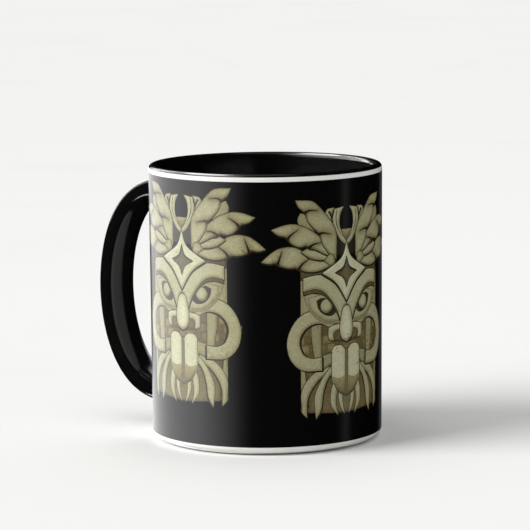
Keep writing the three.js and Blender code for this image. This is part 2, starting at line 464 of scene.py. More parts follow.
def clayRuns():
    glaze = cup["glaze"]
    lipReach = cup["lip"] / 2 - glaze
    lipCentre = (rimRadius - cup["lip"] / 2, cupHeight - cup["lip"] / 2)
    inner = rimRadius - cup["wall"] + glaze
    fillet = cup["floorFillet"]
    floor = cup["floor"] - glaze
    footOuter = rimRadius - cup["taper"] - cup["heelInset"]
    footInner = footOuter - cup["footLand"]
    glazeLine = footOuter + 0.24
    heelTop = rimRadius - cup["taper"] - glaze
    heel = arc((glazeLine, cup["heel"]), (heelTop - glazeLine, cup["heel"] - cup["bareFoot"]), -90, 0, 20)
    heights = np.linspace(cup["heel"], lipCentre[1], 60)
    wall = np.column_stack([wallRadius(heights) - glaze, heights])
    lipOut = arc(lipCentre, (lipReach, lipReach), 0, cup["blackLine"], 9)
    lipOver = arc(lipCentre, (lipReach, lipReach), cup["blackLine"], 180, 40)
    drop = np.linspace(0, 1, 30)
    ease = drop * drop * (3 - 2 * drop)
    lipInner = lipCentre[0] - lipReach
    blend = np.column_stack([lipInner + (inner - lipInner) * ease, lipCentre[1] - cup["lipBlend"] * drop])
    side = straight((inner, lipCentre[1] - cup["lipBlend"]), (inner, floor + fillet), 30)
    turn = arc((inner - fillet, floor + fillet), (fillet, fillet), 0, -90, 24)
    bottom = straight((inner - fillet, floor), (0, floor), 12)
    recess = straight((0, cup["recess"]), (footInner - 1.4, cup["recess"]), 12)
    corner = arc((footInner - 1.4, cup["recess"] - 0.9), (0.9, 0.9), 90, 20, 8)
    landIn = arc((footInner + 0.7, 0.7), (0.7, 0.7), 180, 270, 8)
    landOut = arc((footOuter - 0.5, 0.5), (0.5, 0.5), -90, -20, 8)
    return {
        "recess": joined(recess, corner),
        "land": joined(landIn, landOut, [(glazeLine, cup["bareFoot"])]),
        "outside": joined(heel, wall, lipOut),
        "liner": joined(lipOver, blend, side, turn, bottom),
    }


runs = clayRuns()
clayProfile = joined(runs["recess"], runs["land"], runs["outside"], runs["liner"])
clayCup = revolve("clay_cup", clayProfile, bareClay, "bare_clay")
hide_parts("stoneware_cup")
whiteCoat = revolve(
    "white_outer_glaze", coatProfile(runs["outside"], cup["glaze"], 0.5, 0), whiteGlaze, "white_glaze"
)
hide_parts("outer_white_glaze")
fromEdge = np.r_[0, np.cumsum(np.hypot(*np.diff(runs["liner"], axis=0).T))]
linerDepth = cup["glaze"] + cup["bead"] * np.clip(fromEdge / 0.25, 0, 1) ** 0.5
blackCoat = revolve("black_liner_glaze", coatProfile(runs["liner"], linerDepth, 0, 0), linerGlaze,
    "black_glaze")
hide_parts("inner_black_glaze")
recessCoat = revolve(
    "white_underside_glaze", coatProfile(runs["recess"], 0.3, 0, 0.5), whiteGlaze, "white_glaze"
)
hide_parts("underside_white_glaze")
print("stage 4: cup and glazes thrown")

handle = {
    "drop": 12.3,  # from the top of the lip to the middle of the upper end
    "foot": 12.5,  # from the table to the middle of the lower end
    "rise": 10.0,
    "thick": 8.3,
    "seam": 3.4,  # how far from the wall the handle starts to spread
    "spread": 1.7,  # how much wider it is all round where it meets the wall
    "squareness": 2.35,
    "rings": 260,
    "sides": 56,
}


def handleCurve(count):
    start = rimRadius - cup["glaze"] - cup["wall"] / 2
    reach = -handleLow.x - handle["thick"] / 2
    guide = start + (reach - start) / 0.75
    top = cupHeight - handle["drop"]
    ends = np.array([
        (start, top), (guide, top + handle["rise"]), (guide, handle["foot"] - handle["rise"]),
        (start, handle["foot"]),
    ])
    t = (0.5 - 0.5 * np.cos(np.linspace(0, np.pi, count)))[:, None]  # rings crowd towards the two seams
    return (
        (1 - t) ** 3 * ends[0] + 3 * (1 - t) ** 2 * t * ends[1]
        + 3 * (1 - t) * t**2 * ends[2] + t**3 * ends[3]
    )


def handleSkin():
    middle = handleCurve(handle["rings"])
    side = sideways(middle)
    halfWide = (handleHigh.y - handleLow.y) / 2
    halfThick = handle["thick"] / 2
    turns = np.linspace(0, 2 * np.pi, handle["sides"], endpoint=False)
    power = 2 / handle["squareness"]
    across = np.sign(np.cos(turns)) * np.abs(np.cos(turns)) ** power
    through = np.sign(np.sin(turns)) * np.abs(np.sin(turns)) ** power
    points = []
    for (reach, height), (sideX, sideZ) in zip(middle, side):
        y = halfWide * across
        r = reach + sideX * halfThick * through
        z = height + sideZ * halfThick * through
        outward = np.hypot(r, y)
        near = np.clip(1 - (outward - wallRadius(height)) / handle["seam"], 0, 1)
        swell = handle["spread"] * near**2
        outY = np.cos(turns) / halfWide
        outT = np.sin(turns) / halfThick
        size = np.hypot(outY, outT)
        y = y + swell * outY / size  # the seam spreads along the wall, never off it
        r = np.sqrt(outward**2 - y**2)
        z = z + swell * sideZ * outT / size
        points.append(np.column_stack([-r, y, z]))
    return np.array(points)


def sweepPiece(name, skin, material, slot):
    rings, sides = skin.shape[:2]
    points = skin.reshape(-1, 3)
    faces = []
    for i in range(rings - 1):
        for j in range(sides):
            k = (j + 1) % sides
            faces.append((i * sides + j, i * sides + k, (i + 1) * sides + k, (i + 1) * sides + j))
    faces.append(tuple(range(sides))[::-1])
    faces.append(tuple((rings - 1) * sides + j for j in range(sides)))
    return addMesh(name, points, faces, material, slot)


handlePiece = sweepPiece("black_handle", handleSkin(), handleGlaze, "black_glaze")
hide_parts("handle_black_glaze")
for node, material in (("handle_core", bareClay), ("upper_slip_joint", slipClay),
    ("lower_slip_joint", slipClay)):
    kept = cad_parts[node]
    kept.data.materials.clear()
    kept.data.materials.append(material)
print("stage 5: handle pulled and joined")

printed = {"groundLift": 0.05, "pictureLift": 0.085, "columns": 260, "rows": 24}


def wrapPoints(arcs, heights, lift):
    angles = np.asarray(arcs) / rimRadius
    radii = wallRadius(np.asarray(heights)) + lift
    return np.column_stack([radii * np.cos(angles), radii * np.sin(angles), heights])


# a thin closed sheet: the printed face, its back and the walls round its open edges
def sheetFaces(faces, count):
    edges = {}
    for face in faces:
        for a, b in zip(face, face[1:] + face[:1]):
            edges[(a, b)] = edges.get((a, b), 0) + 1
    rim = [(a, b) for a, b in edges if (b, a) not in edges]
    back = [tuple(c + count for c in reversed(face)) for face in faces]
    walls = [(b, a, a + count, b + count) for a, b in rim]
    return faces + back + walls


halfWrap = rimRadius * math.acos(printLow.x / printHigh.x)  # half the print's width along the wall


def makeGround():
    arcs = np.linspace(-halfWrap, halfWrap, printed["columns"])
    heights = np.linspace(printLow.z, printHigh.z, printed["rows"])
    grid = np.array([(a, h) for h in heights for a in arcs])
    columns = printed["columns"]
    faces = [
        (r * columns + c, r * columns + c + 1, (r + 1) * columns + c + 1, (r + 1) * columns + c)
        for r in range(printed["rows"] - 1)
        for c in range(columns - 1)
    ]
    face = wrapPoints(grid[:, 0], grid[:, 1], printed["groundLift"])
    back = wrapPoints(grid[:, 0], grid[:, 1], 0.005)
    return addMesh("black_print_ground", np.vstack([face, back]), sheetFaces(faces, len(face)), groundInk,
        "print")


ground = makeGround()
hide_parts("printed_wrap")
print("stage 6: print ground laid")


# drawing tools for the printed posts; x runs round the wall to the viewer's right, y runs up,
# and (0, 0) is the top point of the forehead lozenge
def stroke(points, spacing=0.45):
    points = np.asarray(points, float)
    if len(points) == 2:
        count = max(2, int(np.hypot(*(points[1] - points[0])) / spacing) + 1)
        return np.linspace(points[0], points[1], count)
    padded = np.vstack([2 * points[0] - points[1], points, 2 * points[-1] - points[-2]])
    drawn = []
    for i in range(1, len(padded) - 2):
        p0, p1, p2, p3 = padded[i - 1:i + 3]
        count = max(2, int(np.hypot(*(p2 - p1)) / spacing) + 1)
        t = np.linspace(0, 1, count, endpoint=False)[:, None]
        drawn.append(0.5 * (2 * p1 + (p2 - p0) * t + (2 * p0 - 5 * p1 + 4 * p2 - p3) * t**2
                            + (3 * p1 - p0 - 3 * p2 + p3) * t**3))
    return np.vstack(drawn + [points[-1:]])


# strokes joined into one closed outline, counter-clockwise, corners kept where strokes meet;
# a stroke starts where the one before it ended, whether or not it repeats that point
def outline(*strokes):
    joined = [strokes[0]]
    for points in strokes[1:]:
        last = joined[-1][-1]
        joined.append(points if points[0] == last else [last, *points])
    line = np.vstack([stroke(points) for points in joined])
    gaps = np.hypot(*(line - np.roll(line, 1, axis=0)).T)
    line = line[gaps > 1e-4]
    area = np.sum(line[:, 0] * np.roll(line[:, 1], -1) - np.roll(line[:, 0], -1) * line[:, 1])
    return line if area > 0 else line[::-1]


def grown(line, distance):
    before = line - np.roll(line, 1, axis=0)
    after = np.roll(line, -1, axis=0) - line
    before /= np.linalg.norm(before, axis=1)[:, None]
    after /= np.linalg.norm(after, axis=1)[:, None]
    side = np.column_stack([before[:, 1] + after[:, 1], -before[:, 0] - after[:, 0]])
    side /= np.maximum(np.linalg.norm(side, axis=1), 1e-6)[:, None]
    mitre = side[:, 0] * after[:, 1] - side[:, 1] * after[:, 0]
    return line + side * (distance / np.clip(mitre, 0.6, 1))[:, None]


def inside(line, spots):
    hits = np.zeros(len(spots), bool)
    low, high = line.min(axis=0), line.max(axis=0)
    near = np.flatnonzero(np.all((spots >= low) & (spots <= high), axis=1))
    if not len(near):
        return hits
    x, y = spots[near].T
    crossed = np.zeros(len(near), int)
    for (ax, ay), (bx, by) in zip(line, np.roll(line, -1, axis=0)):
        rising = (ay <= y) & (by > y)
        falling = (ay > y) & (by <= y)
        if not (rising.any() or falling.any()):
            continue
        left = (bx - ax) * (y - ay) - (x - ax) * (by - ay)
        crossed += (rising & (left > 0)).astype(int) - (falling & (left < 0)).astype(int)
    hits[near] = crossed != 0
    return hits


# distance from each spot to an outline, and the direction from the outline to the spot
def fromEdge2d(line, spots):
    ends = np.roll(line, -1, axis=0)
    along = ends - line
    length = np.maximum((along**2).sum(axis=1), 1e-9)
    distance = np.empty(len(spots))
    direction = np.empty((len(spots), 2))
    for start in range(0, len(spots), 2000):
        part = spots[start:start + 2000]
        offset = part[:, None, :] - line[None]
        t = np.clip((offset * along[None]).sum(axis=2) / length, 0, 1)
        away = offset - t[..., None] * along[None]
        reach = np.sqrt((away**2).sum(axis=2))
        best = reach.argmin(axis=1)
        rows = np.arange(len(part))
        distance[start:start + 2000] = reach[rows, best]
        direction[start:start + 2000] = away[rows, best] / np.maximum(reach[rows, best], 1e-6)[:, None]
    return distance, direction


shapes = []  # painted in order, the later over the earlier


# tone: 0 dark to 1 light; edge darkens the border over soft mm; relief lights the upper left
# border and shades the lower right; slope is tone per mm going up; drop is how far the carved
# thickness shows past the face; cuts are wedges whose sides darken the face
def draw(line, tone, glow=0.0, edge=0.1, soft=0.6, relief=0.07, slope=0.0, warm=0.0, ink=0.2, middle=0.0,
         drop=None, under=0.24, cuts=()):
    if drop:
        shapes.append({
            "line": line + np.array(drop), "tone": under, "glow": 0, "edge": 0.06, "soft": 0.4, "relief": 0,
            "slope": 0, "warm": 0.6, "ink": ink, "middle": 0, "cuts": (),
        })
    shapes.append({
        "line": line, "tone": tone, "glow": glow, "edge": edge, "soft": soft, "relief": relief,
        "slope": slope, "warm": warm, "ink": ink, "middle": middle, "cuts": cuts,
    })


def mirrored(strokes):
    return [[(-x, y) for x, y in points] for points in strokes]


def drawPair(strokes, *args, drop=None, cuts=(), **values):
    other = (-drop[0], drop[1]) if drop else None
    draw(outline(*strokes), *args, drop=drop, cuts=[outline(*cut) for cut in cuts], **values)
    draw(outline(*mirrored(strokes)), *args, drop=other, cuts=[outline(*mirrored(cut)) for cut in cuts],
        **values)


post = {"half": 18.4, "top": -8.5, "bottom": -57.2}
leaves = [
    # top runs from the base to the tip; each barb steps back under it towards the base;
    # each cut opens between two barbs and closes to a point inside the leaf
    {
        "top": [(-7.4, -5.2), (-12.0, -5.0), (-15.8, -3.4), (-18.4, -1.2), (-22.0, -0.1), (-26.0, -0.6),
            (-29.0, -2.4), (-32.0, -5.1)],
        "barbs": [
            [(-32.0, -5.1), (-29.6, -5.7), (-27.4, -5.4)],
            [(-26.2, -6.3), (-23.0, -7.2), (-20.4, -7.2)],
            [(-18.8, -8.1), (-15.2, -8.9), (-11.4, -8.7), (-7.2, -7.4)],
        ],
        "cuts": [[(-26.9, -6.0), (-26.0, -4.2), (-24.9, -1.6)],
            [(-19.6, -7.8), (-18.0, -6.0), (-15.0, -4.2)]],
    },
    {
        "top": [(-7.2, -3.6), (-10.0, -2.0), (-12.6, -0.4), (-15.8, -0.8), (-18.2, -2.0)],
        "barbs": [[(-18.2, -2.0), (-15.6, -3.8), (-12.2, -4.9), (-7.6, -5.2)]],
        "cuts": [],
    },
    {
        "top": [(-6.8, -2.4), (-9.6, 1.6), (-12.6, 4.0), (-16.0, 6.2), (-20.2, 7.6), (-24.0, 7.4),
            (-28.5, 5.9)],
        "barbs": [
            [(-28.5, 5.9), (-26.4, 4.2), (-23.8, 3.5)],
            [(-22.9, 2.2), (-20.8, 0.5), (-18.6, -0.2), (-16.4, 0.2)],
            [(-15.2, -0.9), (-12.8, -1.4), (-10.0, -2.8), (-6.8, -4.2)],
        ],
        "cuts": [[(-23.4, 2.7), (-21.9, 4.2), (-19.2, 5.7)], [(-15.8, -0.4), (-13.8, 0.6), (-10.8, 1.0)]],
    },
    {
        "top": [(-4.6, -4.8), (-4.5, 3.2), (-6.0, 7.0), (-8.8, 10.4), (-11.8, 13.6), (-14.6, 15.4),
            (-20.2, 15.8)],
        "barbs": [
            [(-20.2, 15.8), (-19.2, 13.6), (-17.7, 12.2)],
            [(-16.6, 10.9), (-15.8, 8.6), (-14.0, 6.4), (-12.4, 4.9)],
            [(-11.4, 3.6), (-10.2, 0.4), (-7.8, -2.8), (-5.2, -5.2)],
        ],
        "cuts": [[(-17.2, 11.6), (-15.4, 12.3), (-12.2, 12.0)], [(-11.9, 4.2), (-9.9, 4.4), (-6.9, 3.6)]],
    },
]


def leafStrokes(leaf):
    strokes = [leaf["top"]]
    for barb in leaf["barbs"]:
        if strokes[-1][-1] != barb[0]:
            strokes.append([strokes[-1][-1], barb[0]])
        strokes.append(barb)
    return strokes + [[strokes[-1][-1], leaf["top"][0]]]


# a cut is a thin wedge bent at its middle
def cutStrokes(cut, width=0.9):
    (ax, ay), (bx, by), (cx, cy) = cut
    across = np.array([by - ay, ax - bx]) / math.hypot(bx - ax, by - ay)
    start, bend = np.array([ax, ay]) + across * width, np.array([bx, by]) + across * width * 0.45
    return [[(ax, ay), (bx, by), (cx, cy)], [(cx, cy), tuple(map(float, bend)), tuple(map(float, start))],
            [tuple(map(float, start)), (ax, ay)]]


def drawPost():
    half, top, bottom = post["half"], post["top"], post["bottom"]
    draw(outline([(-half, top), (-half, bottom)], [(half, bottom)], [(half, top)],
                 [(-half, top)]), 0.63, edge=0.1, soft=1.6, relief=0.06)
    draw(outline([(-half, -7), (-half, -11.8)], [(0, -13.5), (half, -11.8)], [(half, -7)],
                 [(-half, -7)]), 0.33, edge=0.1, warm=0.6, ink=0)


def drawCrown():
    draw(outline([(-5.0, -4.0), (-4.0, 3.0)], [(4.0, 3.0)], [(5.0, -4.0)], [(-5.0, -4.0)]),
         0.12, edge=0, warm=0.5, ink=0)
    drawPair([[(-9.4, 10.4), (-8.2, 12.2), (-5.4, 12.6)], [(-6.4, 10.4), (-6.3, 7.6)],
        [(-8.4, 8.6), (-9.4, 10.4)]],
             0.64, relief=0.1)
    drawPair([[(-8.1, 11.3), (-7.0, 9.6), (-6.7, 7.9)], [(-6.4, 9.8), (-7.3, 11.7)], [(-8.1, 11.3)]],
             0.14, edge=0, relief=0, ink=0)
    drawPair([[(0, -0.6), (-2.6, 1.2), (-5.0, 5.0), (-6.0, 8.6), (-5.3, 12.1)], [(-1.4, 12.7)],
              [(-2.9, 10.2), (-3.2, 6.8), (-2.3, 4.2), (-0.4, 1.8), (0, 1.2)], [(0, -0.6)]],
             0.72, edge=0.14, relief=0.1)
    drawPair([[(-4.4, 11.9), (-4.9, 9.0), (-4.2, 5.6), (-1.4, 1.6)],
        [(-3.9, 5.8), (-4.55, 9.0), (-4.1, 12.0)],
              [(-4.4, 11.9)]], 0.2, edge=0, relief=0, ink=0)
    draw(outline([(-2.3, 4.9), (2.3, 4.9)], [(1.7, 3.0), (0, 0.9)], [(-1.7, 3.0), (-2.3, 4.9)]),
         0.5, slope=0.05, middle=3.0, warm=0.4, edge=0.06)


def drawLeaves():
    drawPair([[(-13.6, 5.0), (-18.2, 6.6), (-19.4, 9.0), (-18.4, 11.4)], [(-11.0, 9.0)], [(-13.6, 5.0)]],
             0.58, edge=0.1, drop=(0.2, -0.3))
    # short stubs between the leaf bases and the brow
    drawPair([[(-11.4, -6.4), (-8.6, -4.4), (-5.8, -4.6)], [(-5.4, -8.2)], [(-9.0, -8.6), (-11.4, -6.4)]],
             0.6, edge=0.16)
    for leaf in leaves:
        wedges = [cutStrokes(cut) for cut in leaf["cuts"]]
        drawPair(leafStrokes(leaf), 0.67, edge=0.22, soft=0.55, relief=0.04, drop=(0.15, -0.4), cuts=wedges)
        for wedge in wedges:
            drawPair(wedge, 0.05, edge=-0.06, soft=0.3, relief=0, ink=0.1)
    drawPair([[(-9.6, -5.6), (-7.6, -3.4), (-5.6, -3.6)], [(-5.2, -6.2), (-7.0, -7.4)], [(-9.6, -5.6)]],
             0.64, edge=0.2)


def drawCheeks():
    # the mouth's dark hollow behind the loops
    draw(outline([(-19.0, -27.5), (-10.0, -25.5), (0, -26.0), (10.0, -25.5), (19.0, -27.5)],
                 [(19.0, -40.0)], [(0, -41.5), (-19.0, -40.0)],
                 [(-19.0, -27.5)]), 0.37, edge=0, relief=0, warm=0.5, ink=0)
    # rows of cut blocks inside the hollow
    for row, height in enumerate((-29.6, -32.6, -35.6)):
        for k in range(-6, 7):
            x = k * 3.4 + (1.7 if row % 2 else 0)
            tone = 0.38 + 0.07 * ((k * 7 + row * 5) % 3)
            draw(outline([(x - 1.5, height + 1.3), (x - 1.5, height - 1.3)], [(x + 1.5, height - 1.3)],
                         [(x + 1.5, height + 1.3)], [(x - 1.5, height + 1.3)]),
                 tone, edge=0.06, soft=0.5, relief=0.03, warm=0.6, ink=0)
    # tusk beside the tongue
    drawPair([[(-14.6, -27.0), (-14.5, -32.0), (-13.4, -39.2)], [(-10.7, -39.4)],
              [(-10.7, -26.6)], [(-14.6, -27.0)]], 0.6, edge=0.12, relief=0.06)
    drawPair([[(-10.5, -38.2), (-6.2, -37.2)], [(-6.2, -41.2)], [(-10.5, -43.2)],
              [(-10.5, -38.2)]], 0.58, edge=0.14, relief=0.08)
    # looped cheek with its opening
    for sign in (1, -1):
        outer = [(-11.6, -22.6), (-16.2, -22.8), (-20.2, -25.6), (-22.8, -30.4), (-23.2, -35.0),
            (-21.6, -39.6),
                 (-17.6, -42.8), (-10.6, -43.2)]
        hole = [(-10.6, -38.6), (-14.4, -38.8), (-17.4, -37.4), (-18.9, -33.6), (-18.0, -30.0),
            (-15.0, -27.4),
                (-10.6, -27.0), (-6.2, -29.6)]
        strokes = [outer, [(-10.6, -43.2), (-10.6, -38.6)], hole, [(-6.2, -29.6), (-5.0, -26.4)],
                   [(-5.0, -26.4), (-11.6, -22.6)]]
        strokes = strokes if sign > 0 else mirrored(strokes)
        draw(outline(*strokes), 0.67, edge=0.1, relief=0.08, ink=0.26, drop=(0.5 * sign, -0.3))


def drawBeard():
    draw(outline([(-16.8, -43.5), (-15.4, -57.6)], [(0, -58.6), (15.4, -57.6)], [(16.8, -43.5)],
                 [(0, -40.0), (-16.8, -43.5)]), 0.4, slope=-0.004, middle=-50, edge=0.1, warm=0.5,
                 relief=0.03)
    drawPair([[(-8.0, -41.6), (-14.4, -44.6), (-18.2, -50.0), (-18.0, -57.6)], [(-16.4, -59.2)],
              [(-15.9, -52.4), (-12.4, -47.0), (-7.0, -43.2)], [(-8.0, -41.6)]],
             0.67, edge=0.14, relief=0.08, drop=(0.3, -0.2))
    drawPair([[(-6.4, -41.6), (-10.4, -46.0), (-13.4, -52.4), (-12.9, -59.9)],
        [(-10.9, -56.6), (-10.2, -51.6),
              (-8.6, -47.0), (-6.0, -44.0)], [(-6.4, -41.6)]], 0.69, edge=0.14, relief=0.08,
              drop=(0.3, -0.2))
    drawPair([[(-5.6, -47.0), (-7.0, -51.0), (-6.8, -55.8), (-3.9, -59.4)],
        [(-4.9, -55.0), (-4.3, -50.6), (-3.6, -48.0)],
              [(-5.6, -47.0)]], 0.72, edge=0.14, relief=0.08)
    drawPair([[(-3.2, -48.6), (-3.7, -53.0), (-2.8, -56.6), (-0.9, -59.2)],
        [(-1.7, -55.6), (-1.9, -52.0), (-1.2, -49.6)],
              [(-3.2, -48.6)]], 0.74, edge=0.14, relief=0.08)


def drawTongue():
    draw(outline([(-6.0, -36.6), (6.0, -36.6)], [(5.8, -47.0), (3.6, -51.2), (0, -53.0)],
                 [(-3.6, -51.2), (-5.8, -47.0), (-6.0, -36.6)]), 0.42, edge=0.1, warm=0.5)
    drawPair([[(-0.7, -36.8), (-2.4, -35.2), (-5.2, -35.2), (-6.6, -36.6)], [(-6.6, -45.2), (-6.0, -48.2)],
              [(-3.4, -47.2), (-0.7, -48.2)], [(-0.7, -36.8)]], 0.8, edge=0.14, relief=0.08, ink=0.24)
    drawPair([[(-6.5, -45.6), (-3.4, -46.6), (-0.6, -45.6)], [(-0.4, -52.8)],
        [(-3.4, -51.4), (-5.6, -48.4), (-6.5, -45.6)]],
             0.58, edge=0.1, slope=0.03, middle=-47, warm=0.4, ink=0)


def drawEyes():
    # the scooped cheek, the raised lid round the eye, the dark opening and the ball
    drawPair([[(-17.2, -14.2), (-16.6, -19.6), (-13.4, -24.4), (-8.6, -27.0), (-2.0, -27.6)],
        [(-2.0, -19.0)],
              [(-9.0, -13.0), (-17.2, -14.2)]], 0.62, edge=0.12, relief=0.05, ink=0.08)
    drawPair([[(-15.6, -18.0), (-14.8, -21.4), (-12.2, -24.2), (-8.4, -26.2), (-3.4, -26.6)],
        [(-5.0, -21.0), (-9.4, -17.2), (-15.6, -18.0)]],
             0.66, edge=0.12, ink=0.1)
    drawPair([[(-16.6, -15.2), (-13.6, -16.6), (-10.6, -17.2), (-7.6, -19.4), (-5.0, -23.4)],
        [(-5.4, -18.0), (-10.0, -14.4), (-16.6, -15.2)]],
             0.3, edge=-0.06, relief=0, warm=0.6, ink=0)
    drawPair([[(-12.5, -19.0), (-10.4, -18.2), (-7.6, -19.1), (-5.7, -21.2), (-5.0, -23.6)],
        [(-6.8, -24.5), (-9.6, -23.9), (-11.8, -21.8), (-12.5, -19.0)]],
             0.16, edge=-0.05, relief=0, ink=0.12)
    ball = [(-8.7 + 2.35 * math.cos(a), -21.0 + 2.4 * math.sin(a)) for a in np.linspace(0, 2 * np.pi, 25)]
    drawPair([ball], 0.7, edge=0.22, soft=0.7, relief=0.14, ink=0.1)


def drawNose():
    drawPair([[(-2.2, -27.6), (-6.2, -28.0), (-7.9, -28.8)], [(-8.0, -31.2), (-7.6, -32.8), (-5.7, -33.2)],
              [(-5.6, -30.4), (-2.2, -29.6)], [(-2.2, -27.6)]], 0.74, edge=0.14, relief=0.12, ink=0.26)
    drawPair([[(-5.5, -33.1), (-5.4, -30.4), (-2.0, -29.6)], [(-1.4, -34.0)], [(-5.5, -33.1)]],
             0.4, edge=0.1, warm=0.6, relief=0.03, ink=0.15)
    draw(outline([(0, -21.4), (-1.7, -22.6), (-2.6, -25.8), (-3.1, -29.4), (-2.3, -32.6), (0, -34.0)],
                 [(2.3, -32.6), (3.1, -29.4), (2.6, -25.8), (1.7, -22.6), (0, -21.4)]),
         0.76, glow=0.06, edge=0.16, soft=0.9, relief=0.12, ink=0.26, drop=(0, -0.5))


def drawBrows():
    drawPair([[(0, -20.8), (-1.6, -18.4), (-4.6, -14.4), (-7.6, -11.6), (-10.4, -10.3), (-14.0, -10.3),
        (-17.5, -11.0)], [(-17.5, -15.6)],
              [(-13.4, -14.9), (-10.0, -15.9), (-6.9, -18.9), (-4.4, -22.6), (-2.8, -26.2)],
              [(-1.4, -22.2), (0, -20.8)]], 0.7, edge=0.12, relief=0.1, ink=0.28, drop=(0.2, -1.3),
              under=0.34)


def drawLozenge():
    draw(outline([(0, 0.3), (-2.4, -4.9), (-10.3, -9.6)], [(-4.6, -13.4), (0, -19.7)],
                 [(4.6, -13.4), (10.3, -9.6)], [(2.4, -4.9), (0, 0.3)]),
         0.8, edge=0.1, relief=0.12, ink=0.3, drop=(0, -0.7))
    draw(outline([(0, -4.4), (-1.5, -8.0), (-5.2, -9.9)], [(-1.6, -11.9), (0, -15.1)],
                 [(1.6, -11.9), (5.2, -9.9)], [(1.5, -8.0), (0, -4.4)]),
         0.36, edge=0.16, relief=-0.1, warm=0.4, ink=0.15)


for paint in (drawPost, drawBeard, drawCrown, drawLeaves, drawCheeks, drawEyes, drawBrows, drawTongue,
    drawNose, drawLozenge):
    paint()
print("stage 7: post picture drawn in", len(shapes), "shapes")

picture = {"sample": 0.75, "jitter": 0.22, "rings": (0.2, 0.42, 0.7)}


def layers():
    for shape in shapes:
        if shape["ink"]:
            yield grown(shape["line"], shape["ink"]), None
        yield shape["line"], shape


def shadeTone(shape, spots):
    distance, away = fromEdge2d(shape["line"], spots)
    border = np.exp(-((distance / shape["soft"]) ** 1.5))
    chamfer = np.exp(-(((distance - 0.42) / 0.22) ** 2))
    facing = away @ np.array([0.5, -0.87])
    tone = shape["tone"] + shape["glow"] * (1 - border) - shape["edge"] * border
    tone += shape["relief"] * (0.4 * border + chamfer) * facing
    for wedge in shape["cuts"]:
        tone -= 0.26 * np.exp(-fromEdge2d(wedge, spots)[0] / 0.9)
    if shape["slope"]:
        tone += shape["slope"] * (spots[:, 1] - shape["middle"])
    return np.clip(tone, 0.02, 1)


def partition(cutAt):
    everything = list(layers())
    spots, edges = [], []
    for line, _ in everything:
        start = len(spots)
        spots.extend(map(tuple, line))
        edges.extend((start + i, start + (i + 1) % len(line)) for i in range(len(line)))
    low = np.min([line.min(axis=0) for line, _ in everything], axis=0)
    high = np.max([line.max(axis=0) for line, _ in everything], axis=0)
    spots.extend([(cutAt, low[1] - 1), (cutAt, high[1] + 1)])
    edges.append((len(spots) - 2, len(spots) - 1))
    step = picture["sample"]
    grid = np.array([
        (x + (step / 2 if row % 2 else 0), y)
        for row, y in enumerate(np.arange(low[1], high[1], step * 0.87))
        for x in np.arange(low[0], high[0], step)
    ])
    grid += rng.uniform(-1, 1, grid.shape) * picture["jitter"]
    rings = [grown(line, -inset) for line, shape in everything if shape for inset in picture["rings"]]
    grid = np.vstack([grid] + rings)
    covered = np.zeros(len(grid), bool)
    for line, _ in everything:
        covered |= inside(line, grid)
    spots.extend(map(tuple, grid[covered]))
    made = geometry.delaunay_2d_cdt([Vector(spot) for spot in spots], edges, [], 0, 1e-5, False)
    points = np.array([tuple(v) for v in made[0]])
    faces = np.array([face for face in made[2] if len(face) == 3])
    top = np.full(len(faces), -1)
    middles = points[faces].mean(axis=1)
    for i, (line, _) in enumerate(everything):
        top[inside(line, middles)] = i
    tones = np.zeros((len(faces), 3, 2))
    for i, (_, shape) in enumerate(everything):
        rows = np.flatnonzero(top == i)
        if not len(rows):
            continue
        if shape is None:
            tones[rows, :, 0] = 0.1
            continue
        used, back = np.unique(faces[rows], return_inverse=True)
        tones[rows, :, 0] = shadeTone(shape, points[used])[back].reshape(-1, 3)
        tones[rows, :, 1] = shape["warm"]
    kept = top >= 0
    return points, faces[kept], tones[kept]


pictures = {
    # where each post's middle line and lozenge top lie: mm round the wall from +X, mm up
    "left_post_picture": {"along": -69.2, "up": 76.5},
    "right_post_picture": {"along": -6.8, "up": 72.2},
    "far_post_picture": {"along": 55.6, "up": 76.5},
}
cutAt = -halfWrap - pictures["left_post_picture"]["along"]
pictureSpots, pictureTriangles, pictureTones = partition(cutAt)
print("stage 8: picture meshed,", len(pictureTriangles), "triangles")


def layPicture(name, place):
    spots = pictureSpots + (place["along"], place["up"])
    middles = spots[pictureTriangles].mean(axis=1)
    kept = middles[:, 0] > -halfWrap
    triangles, tones = pictureTriangles[kept], pictureTones[kept]
    used, back = np.unique(triangles, return_inverse=True)
    faces = [tuple(map(int, face)) for face in back.reshape(-1, 3)]
    face = wrapPoints(spots[used, 0], spots[used, 1], printed["pictureLift"])
    under = wrapPoints(spots[used, 0], spots[used, 1], printed["groundLift"] - 0.01)
    every = sheetFaces(faces, len(face))
    piece = addMesh(name, np.vstack([face, under]), every, pictureInk, "print")
    colours = np.zeros((len(piece.data.loops), 4))
    colours[:, 3] = 1
    colours[:3 * len(faces), :2] = tones.reshape(-1, 2)
    layer = piece.data.color_attributes.new(name="inkTone", type="FLOAT_COLOR", domain="CORNER")
    layer.data.foreach_set("color", colours.ravel())
    return piece


for name, place in pictures.items():
    layPicture(name, place)
print("stage 9: pictures laid on the wall")


# camera: right and toward are seen from its own place, 38 degrees round from the front
studio = {
    "azimuth": 38.1,
    "distance": 1058.0,
    "height": 203.2,
    "down": 7.67,  # degrees
    "roll": 0.46,
    "aside": -0.33,
    "lens": 205.7,
    "film": 36,
    "near": 0.05,
    "far": 30,
    "wallTone": 0.87,
    "fill": 0.5,
}
turn = math.radians(studio["azimuth"])
toward = Vector((math.sin(turn), -math.cos(turn), 0))
rightward = Vector((math.cos(turn), math.sin(turn), 0))


def seen(right, near, up):
    return (rightward * right + toward * near + Vector((0, 0, up))) * mm


